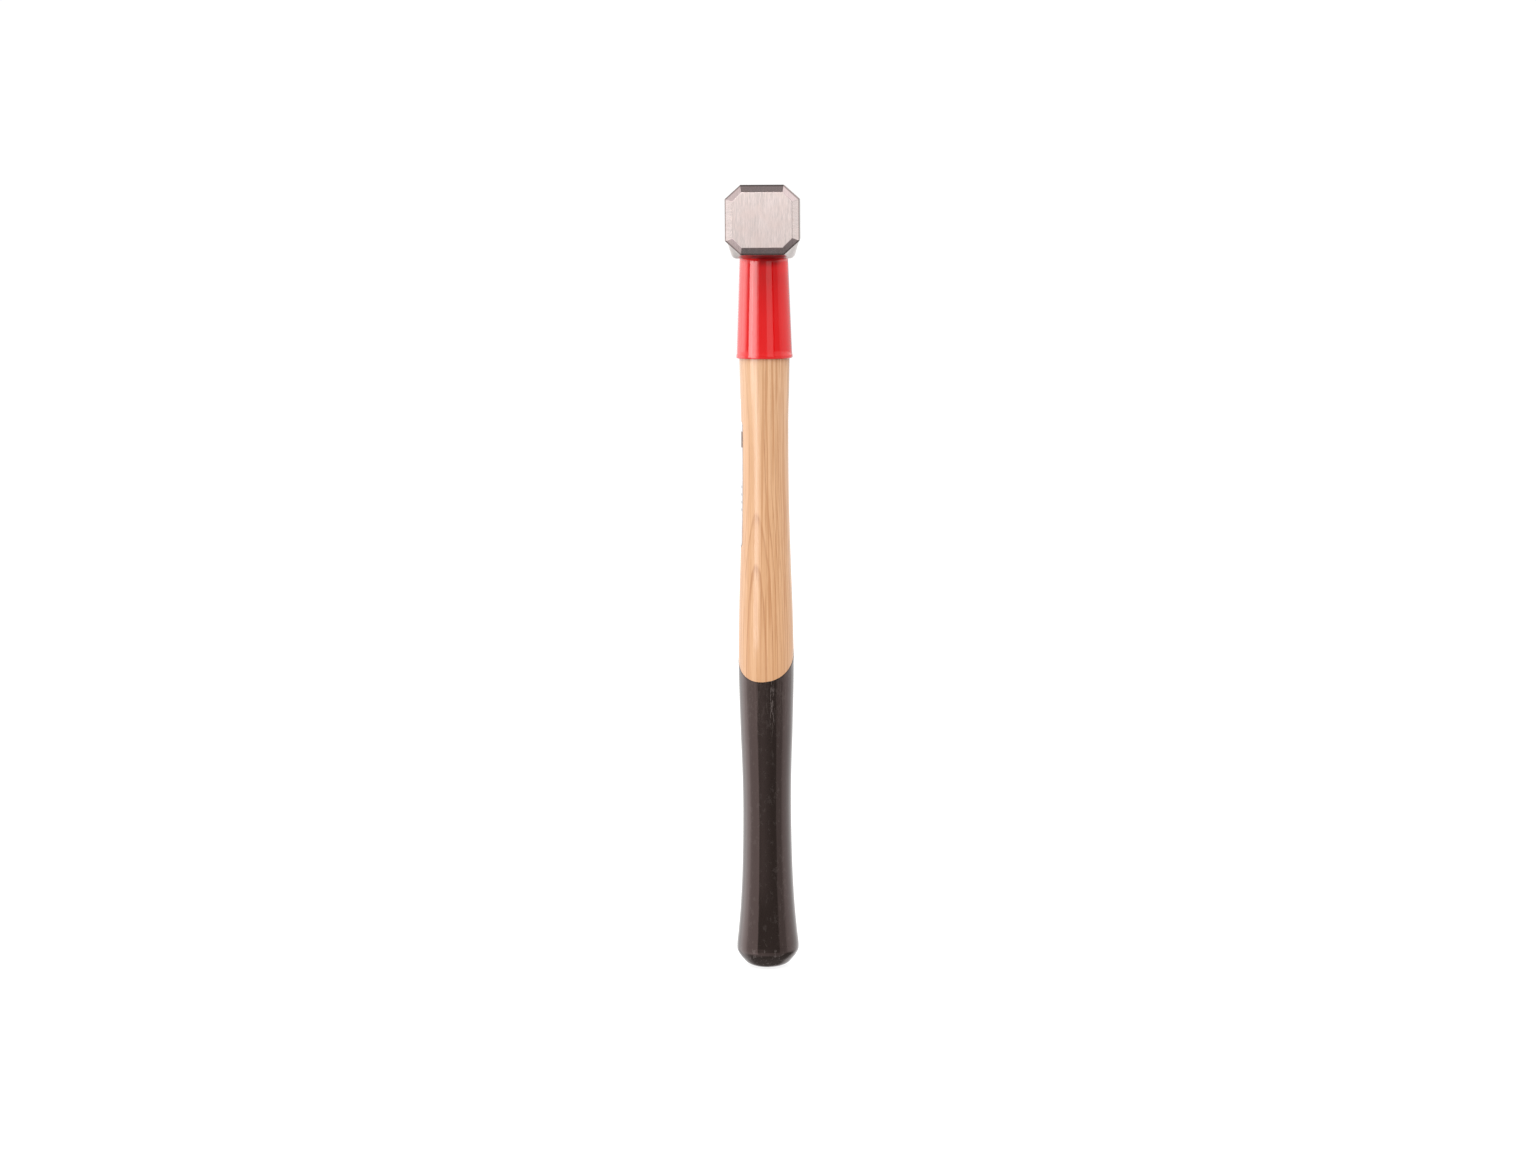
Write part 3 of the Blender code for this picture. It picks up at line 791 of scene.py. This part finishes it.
def eye_tool():
    """Cutter for the tapered eye, flared at both ends into a broken rim."""
    overshoot = 2.0 * CUTTER_REACH
    bottom_rim = [half + EYE_RIM for half in EYE_BOTTOM_HALF]
    top_rim = [half + EYE_RIM for half in EYE_TOP_HALF]
    eye = [
        oval_ring(*bottom_rim, BOSS_BOTTOM - overshoot),
        oval_ring(*bottom_rim, BOSS_BOTTOM),
        oval_ring(*EYE_BOTTOM_HALF, BOSS_BOTTOM + EYE_RIM),
        oval_ring(*EYE_TOP_HALF, HEAD_TOP - EYE_RIM),
        oval_ring(*top_rim, HEAD_TOP),
        oval_ring(*top_rim, HEAD_TOP + overshoot),
    ]
    return new_object("eye_tool", *loft(eye))


def build_head():
    """Forged head: ground faces and bevels, satin sides, and the eye."""
    head = new_object("head", *loft(head_rings()), head_finishes(), sharp=HEAD_CREASE)
    paint_head_faces(head)
    round_edges(head, EDGE_ROUNDING, angle=HEAD_CREASE)
    cut_away(head, eye_tool())
    settle(head, "hammer_head")


# ---------------------------------------------------------------- handle
RING_SEGMENTS = 72


def wedge_block(half_top, half_bottom, length_top, length_bottom, top):
    """Vertices and faces of a block that narrows down to the bottom of the kerf."""
    levels = ((half_bottom, length_bottom, KERF_BOTTOM), (half_top, length_top, top))
    return loft([[(-x, -y, z), (x, -y, z), (x, y, z), (-x, y, z)] for x, y, z in levels])


def hollow_ring(outer, inner, top, bottom):
    """Vertices and faces of a hollow ring; outer and inner are (top radius, bottom radius)."""
    profile = (
        (outer[0], top),
        (outer[1], bottom),
        (inner[1], bottom),
        (inner[0], top),
    )
    vertices = []
    faces = []
    corners = len(profile)
    for k in range(RING_SEGMENTS):
        turn = 2.0 * math.pi * k / RING_SEGMENTS
        vertices += [(r * math.cos(turn), r * math.sin(turn), z) for r, z in profile]
        here = k * corners
        there = ((k + 1) % RING_SEGMENTS) * corners
        for corner in range(corners):
            following = (corner + 1) % corners
            faces.append((here + corner, here + following, there + following, there + corner))
    return vertices, faces


def groove_tool():
    """Cutter for the ring wedge's groove, a hairline wider than the ring."""
    outer = [radius + HAIRLINE for radius in RING_OUTER]
    inner = [radius - HAIRLINE for radius in RING_INNER]
    shape = hollow_ring(outer, inner, TENON_TOP + CUTTER_REACH, RING_TOP - RING_HEIGHT)
    return new_object("groove_tool", *shape)


def kerf_tool():
    """Cutter for the saw kerf, long enough to open both ends of the tenon."""
    past_oval = 0.022
    shape = wedge_block(KERF_HALF_TOP, KERF_HALF_BOTTOM, past_oval, past_oval, TENON_TOP + CUTTER_REACH)
    return new_object("kerf_tool", *shape)


def handle_rings():
    """Rings of the handle from its foot inside the coat to the top of its tenon."""
    in_coat = spread(0.0008, 0.0120, 8)
    in_coat += spread(0.0160, LEAN_LOW, 18)
    in_coat += spread(LEAN_LOW + LEAN_STEP, DIP_HEIGHT - 0.0035, 12)
    bare = spread(DIP_HEIGHT + LEAN_STEP, LEAN_HIGH, 16)
    bare += spread(LEAN_HIGH + LEAN_STEP, SLEEVE_BOTTOM - 0.002, 30)
    rings = [grip_ring(height, SKIN) for height in in_coat]
    rings += [grip_ring(DIP_HEIGHT - 0.0015, SKIN * 0.4), grip_ring(DIP_HEIGHT + 0.0005, 0.0)]
    rings += [grip_ring(height, 0.0) for height in bare]
    bottom = [half - HAIRLINE for half in EYE_BOTTOM_HALF]
    top = [half - HAIRLINE for half in EYE_TOP_HALF]
    return rings + [
        oval_ring(handle_half(SLEEVE_BOTTOM, 1), handle_half(SLEEVE_BOTTOM, 2), SLEEVE_BOTTOM),
        oval_ring(*NECK_TOP_HALF, SLEEVE_TOP),
        oval_ring(*bottom, SLEEVE_TOP + HAIRLINE),
        oval_ring(*bottom, BOSS_BOTTOM + 0.004),
        oval_ring(*top, TENON_TOP - 0.0004),
        oval_ring(top[0] - 0.0003, top[1] - 0.0003, TENON_TOP),
    ]


def build_handle():
    """Ash handle with its neck, shoulder and slotted tenon."""
    handle = new_object("ash_handle", *loft(handle_rings()), (ash_wood(),), sharp=40.0)
    cut_away(handle, kerf_tool(), groove_tool())
    settle(handle, "handle")


def build_wedges():
    """Beech wedge in the kerf, and the steel ring driven across it."""
    block = wedge_block(
        KERF_HALF_TOP - WEDGE_CLEAR,
        KERF_HALF_BOTTOM - WEDGE_CLEAR,
        WEDGE_HALF_LENGTH_TOP,
        WEDGE_HALF_LENGTH_BOTTOM,
        TENON_TOP,
    )
    wedge = new_object("beech_wedge", *block, (hard_wood(),), sharp=30.0)
    cut_away(wedge, groove_tool())
    settle(wedge, "wood_wedge")
    bright = brushed_steel("ring_steel", (0.56, 0.55, 0.54), (900.0, 900.0, 900.0), 0.36, 0.2)
    shape = hollow_ring(RING_OUTER, RING_INNER, RING_TOP, RING_TOP - RING_HEIGHT)
    ring = new_object("steel_ring", *shape, (bright,), sharp=30.0)
    round_edges(ring, 0.0002)
    settle(ring, "ring_wedge")


# ---------------------------------------------------------------- sleeve, coat and label
def sleeve_ring(height, grow):
    """A ring of the sleeve's cone, grown or shrunk."""
    share = (height - SLEEVE_BOTTOM) / (SLEEVE_TOP - SLEEVE_BOTTOM)
    low_x = handle_half(SLEEVE_BOTTOM, 1) + SLEEVE_CLEAR
    low_y = handle_half(SLEEVE_BOTTOM, 2) + SLEEVE_CLEAR
    high_x = NECK_TOP_HALF[0] + SLEEVE_CLEAR
    high_y = NECK_TOP_HALF[1] + SLEEVE_CLEAR
    half_x = low_x + (high_x - low_x) * share + grow
    half_y = low_y + (high_y - low_y) * share + grow
    return oval_ring(half_x, half_y, height)


def sleeve_rings():
    """Rings up the outside of the sleeve, over its top rim and down to its bottom inside."""
    lip_top = SLEEVE_BOTTOM + SLEEVE_LIP_HEIGHT
    rings = [
        sleeve_ring(SLEEVE_BOTTOM, -0.0006),
        sleeve_ring(SLEEVE_BOTTOM + 0.00006, SLEEVE_LIP - 0.00030),
        sleeve_ring(SLEEVE_BOTTOM + 0.00022, SLEEVE_LIP - 0.00009),
        sleeve_ring(SLEEVE_BOTTOM + 0.00050, SLEEVE_LIP),
        sleeve_ring(lip_top - 0.0006, SLEEVE_LIP),
        sleeve_ring(lip_top - 0.0001, SLEEVE_LIP * 0.6),
        sleeve_ring(lip_top + 0.0003, 0.0),
    ]
    rings += [sleeve_ring(height, 0.0) for height in spread(lip_top + 0.002, SLEEVE_TOP - 0.002, 12)]
    return rings + [
        sleeve_ring(SLEEVE_TOP - 0.00015, 0.0),
        sleeve_ring(SLEEVE_TOP - 0.00005, -0.00004),
        sleeve_ring(SLEEVE_TOP, -0.00015),
        sleeve_ring(SLEEVE_TOP, -SLEEVE_WALL),
        sleeve_ring(SLEEVE_BOTTOM, -SLEEVE_WALL - 0.00020),
    ]


def build_sleeve():
    """Painted steel sleeve with a rolled lower lip and rounded rims."""
    rings = sleeve_rings()
    vertices, faces = loft(rings)
    faces = faces[:-2]  # the caps, which the loop below replaces by the bottom rim
    last = (len(rings) - 1) * SEGMENTS
    for k in range(SEGMENTS):
        after = (k + 1) % SEGMENTS
        faces.append((k, after, last + after, last + k))
    sleeve = new_object("red_sleeve", vertices, faces, (red_paint(),), sharp=50.0)
    settle(sleeve, "protective_sleeve")


def build_coat():
    """Dip coat: a thin cup, a little thicker near its rounded rim."""
    rim = DIP_HEIGHT
    foot = spread(0.0000, 0.0018, 9) + spread(0.0022, 0.0130, 22)
    outer = [grip_ring(height, 0.0) for height in foot + spread(0.0150, LEAN_LOW, 30)]
    outer += [grip_ring(height, -0.00004) for height in spread(LEAN_LOW + LEAN_STEP, rim - 0.002, 16)]
    outer += [
        grip_ring(rim - 0.0009, -0.00010),
        grip_ring(rim - 0.0004, -0.00008),
        grip_ring(rim - 0.0001, -0.00002),
        grip_ring(rim, 0.00006),
    ]
    inner = [grip_ring(height, SKIN * 0.8) for height in spread(rim - 0.002, 0.0006, 24)]
    coat = new_object("black_grip", *loft(outer + inner), (black_dip(),), sharp=50.0)
    settle(coat, "grip_coating")


def build_label():
    """Blank label bent round the handle's -X side, with rounded corners."""
    rows = 40
    columns = 24
    vertices = []
    for height in spread(LABEL_BOTTOM, LABEL_TOP, rows + 1):
        to_end = min(height - LABEL_BOTTOM, LABEL_TOP - height)
        missing = max(LABEL_CORNER - to_end, 0.0)
        reach = LABEL_HALF_DEPTH - LABEL_CORNER + math.sqrt(LABEL_CORNER**2 - missing**2)
        half_x = handle_half(height, 1) + HAIRLINE
        half_y = handle_half(height, 2) + HAIRLINE
        for column in range(columns + 1):
            y = reach * (2.0 * column / columns - 1.0)
            x = half_x * (1.0 - abs(y / half_y) ** OVAL_POWER) ** (1.0 / OVAL_POWER)
            vertices.append((-x, y, height))
    stride = columns + 1
    faces = []
    for row in range(rows):
        for column in range(columns):
            low = row * stride + column
            faces.append((low, low + stride, low + stride + 1, low + 1))
    label = new_object("blank_label", vertices, faces, (label_film(),))
    if label.data.polygons[0].normal.x > 0.0:
        label.data.flip_normals()
    thicken = label.modifiers.new("thickness", "SOLIDIFY")
    thicken.thickness = LABEL_THICKNESS
    thicken.offset = 1.0
    settle(label, "handle_label")


# ---------------------------------------------------------------- studio
CAMERA_DISTANCE = 2.10
CAMERA_AZIMUTH = 0.7  # degrees
CAMERA_ELEVATION = 5.4
CAMERA_ROLL = -0.36
CAMERA_LENS = 93.75  # millimetres
CAMERA_SENSOR = 36.0
AIM = Vector((0.0012, 0.0, 0.2065))


def build_camera():
    """Long lens square to the striking face, looking a little down."""
    data = bpy.data.cameras.new("camera")
    data.lens = CAMERA_LENS
    data.sensor_width = CAMERA_SENSOR
    data.clip_start = 0.05
    data.clip_end = 60.0
    camera = bpy.data.objects.new("camera", data)
    azimuth = math.radians(CAMERA_AZIMUTH)
    elevation = math.radians(CAMERA_ELEVATION)
    back = Vector(
        (
            math.sin(azimuth) * math.cos(elevation),
            -math.cos(azimuth) * math.cos(elevation),
            math.sin(elevation),
        )
    )
    turn = back.to_track_quat("Z", "Y").to_matrix().to_4x4()
    roll = Matrix.Rotation(math.radians(CAMERA_ROLL), 4, "Z")
    camera.matrix_world = Matrix.Translation(AIM + back * CAMERA_DISTANCE) @ turn @ roll
    bpy.context.scene.collection.objects.link(camera)
    bpy.context.scene.camera = camera


def build_floor():
    """Wide white floor under the butt, which only the camera sees."""
    size = 12.0
    steps = 12
    below_butt = -0.0002
    vertices = []
    for row in range(steps + 1):
        for column in range(steps + 1):
            vertices.append((size * (column / steps - 0.5), size * (row / steps - 0.5), below_butt))
    stride = steps + 1
    faces = []
    for row in range(steps):
        for column in range(steps):
            low = row * stride + column
            faces.append((low, low + 1, low + stride + 1, low + stride))
    floor = new_object("floor", vertices, faces, (studio_floor(),))
    floor.visible_glossy = False
    floor.visible_diffuse = False
    floor.visible_shadow = False


WALL_BASE_GLOW = 0.16

# Patches of light and shade on the studio's walls, added up where they overlap. Azimuth runs from the
# -Y side, positive toward -X, and elevation up from level, both in degrees.
WALL_GLOW = (
    # azimuth low, high, soft edge, elevation low, high, soft edge, brightness
    (37.0, 210.0, 1.5, -43.0, 47.0, 14.0, 1.10),
    (92.0, 134.0, 10.0, -30.0, 20.0, 12.0, 0.75),
    (140.0, 215.0, 8.0, -45.0, -14.0, 4.0, -0.35),
    (-210.0, -45.5, 1.5, -20.0, 60.0, 12.0, 0.42),
    (-210.0, -81.0, 9.0, -20.0, 60.0, 12.0, 0.55),
    (-215.0, -135.0, 12.0, -50.0, -15.0, 10.0, 0.85),
    (0.0, 38.0, 25.0, -60.0, -4.0, 1.5, 0.30),
    (-60.0, 60.0, 10.0, 24.0, 64.0, 8.0, 0.30),
    (-80.0, 80.0, 10.0, -64.0, -16.0, 4.0, 0.40),
    (-210.0, 210.0, 10.0, 76.0, 100.0, 6.0, 0.12),
    (71.0, 85.0, 2.0, -3.5, 2.6, 0.5, -1.00),
    (-74.0, -40.0, 4.0, -3.5, 2.6, 0.5, -0.50),
    (-180.0, -79.0, 5.0, -3.5, 2.6, 0.5, -0.50),
)
HEAD = ("head",)
SLEEVE = ("red_sleeve",)
SLEEVE_AND_WOOD = ("red_sleeve", "ash_handle")
GRIP = ("black_grip",)

# Upright rectangles of light round the hammer, each reflected only by the pieces that it names
STRIP_LIGHTS = (
    # name, pieces lit, azimuth, width, distance, lower end, upper end, radiance
    ("strip_wide", SLEEVE_AND_WOOD, 61.0, 0.167, 0.50, 0.262, 0.800, 5.3),
    ("strip_narrow", SLEEVE_AND_WOOD, 41.0, 0.270, 0.60, 0.110, 0.900, 4.4),
    ("strip_edge", SLEEVE_AND_WOOD, 24.0, 0.090, 0.60, 0.110, 0.900, 1.4),
    ("strip_front", SLEEVE_AND_WOOD, -24.0, 0.300, 0.60, 0.275, 0.900, 0.8),
    ("face_light", HEAD, 0.0, 0.600, 1.00, 0.500, 0.950, 7.9),
    ("left_bevel_light", HEAD, 84.0, 0.200, 0.70, 0.280, 0.480, 0.15),
    ("right_bevel_light", HEAD, -84.0, 0.200, 0.70, 0.280, 0.480, 0.55),
    ("sleeve_edge_light", SLEEVE, 106.0, 2.130, 5.00, 0.000, 0.590, 0.80),
    ("butt_left_light", GRIP, 78.0, 1.230, 5.00, -0.276, 0.257, 1.00),
    ("butt_right_light", GRIP, -57.0, 3.060, 5.00, -0.276, 0.257, 0.50),
    ("butt_rim_light", GRIP, -110.0, 6.000, 5.00, -0.276, 0.257, 0.50),
)


def build_strips():
    """Upright lights that only the gloss of certain pieces reflects."""
    for name, pieces, turn, width, distance, low, high, radiance in STRIP_LIGHTS:
        lit = bpy.data.collections.new(name + "_lights")
        for piece in pieces:
            lit.objects.link(bpy.data.objects[piece])
        data = bpy.data.lights.new(name, "AREA")
        data.shape = "RECTANGLE"
        data.size = width
        data.size_y = high - low
        data.energy = radiance * math.pi * width * (high - low)
        strip = bpy.data.objects.new(name, data)
        side = math.radians(turn)
        outward = Vector((-math.sin(side), -math.cos(side), 0.0))
        middle = outward * distance
        middle.z = (low + high) / 2.0
        facing = outward.to_track_quat("Z", "Y").to_matrix().to_4x4()
        strip.matrix_world = Matrix.Translation(middle) @ facing
        strip.visible_camera = False
        strip.visible_diffuse = False
        strip.light_linking.receiver_collection = lit
        bpy.context.scene.collection.objects.link(strip)


def wall_glow(graph, toward):
    """Brightness of the walls in a direction, as the hammer's gloss sees them."""
    x, y, z = graph.split(toward)
    azimuth = graph.math("ARCTAN2", graph.math("MULTIPLY", x, -1.0), graph.math("MULTIPLY", y, -1.0))
    azimuth = graph.math("DEGREES", azimuth)
    elevation = graph.math("DEGREES", graph.math("ARCSINE", z))
    total = WALL_BASE_GLOW
    for az_low, az_high, az_soft, el_low, el_high, el_soft, power in WALL_GLOW:
        across = graph.window(azimuth, az_low, az_high, az_soft)
        upward = graph.window(elevation, el_low, el_high, el_soft)
        total = graph.math("MULTIPLY_ADD", graph.product(across, upward), power, total)
    return total


def fill_glow(graph, toward):
    """Brightness of the soft light on matt surfaces: more from above, and a little more from -X."""
    x, _, z = graph.split(toward)
    above_level = graph.ranged(z, -0.1, 0.1, 0.75, 1.33)
    overhead = graph.math("MULTIPLY_ADD", graph.math("MAXIMUM", z, 0.0), 0.90, above_level)
    return graph.math("MULTIPLY_ADD", x, -0.22, overhead)


def mixed_shaders(graph, share, first, second):
    """A node between two shader nodes."""
    return graph.add("ShaderNodeMixShader", {0: share, 1: first.outputs[0], 2: second.outputs[0]})


def build_world():
    """White studio: plain white where the camera looks, glowing walls where the hammer looks."""
    world = bpy.data.worlds.new("studio")
    world.use_nodes = True
    world.cycles.sampling_method = "NONE"
    world.node_tree.nodes.clear()
    graph = Graph(world.node_tree)
    toward = graph.add("ShaderNodeTexCoord").outputs["Generated"]
    white = rgba(1.0, 1.0, 1.0)
    soft_white = rgba(1.0, 0.995, 0.985)
    walls = graph.add("ShaderNodeBackground", {"Color": white, "Strength": wall_glow(graph, toward)})
    fill = graph.add("ShaderNodeBackground", {"Color": soft_white, "Strength": fill_glow(graph, toward)})
    plain = graph.add("ShaderNodeBackground", {"Color": white, "Strength": 1.05})
    rays = graph.add("ShaderNodeLightPath").outputs
    by_piece = mixed_shaders(graph, rays["Is Diffuse Ray"], walls, fill)
    seen = mixed_shaders(graph, rays["Is Camera Ray"], by_piece, plain)
    graph.add("ShaderNodeOutputWorld", {"Surface": seen.outputs[0]})
    bpy.context.scene.world = world
    bpy.context.scene.view_settings.view_transform = "Standard"


build_camera()
build_head()
build_handle()
build_wedges()
build_sleeve()
build_coat()
build_label()
build_floor()
build_strips()
build_world()
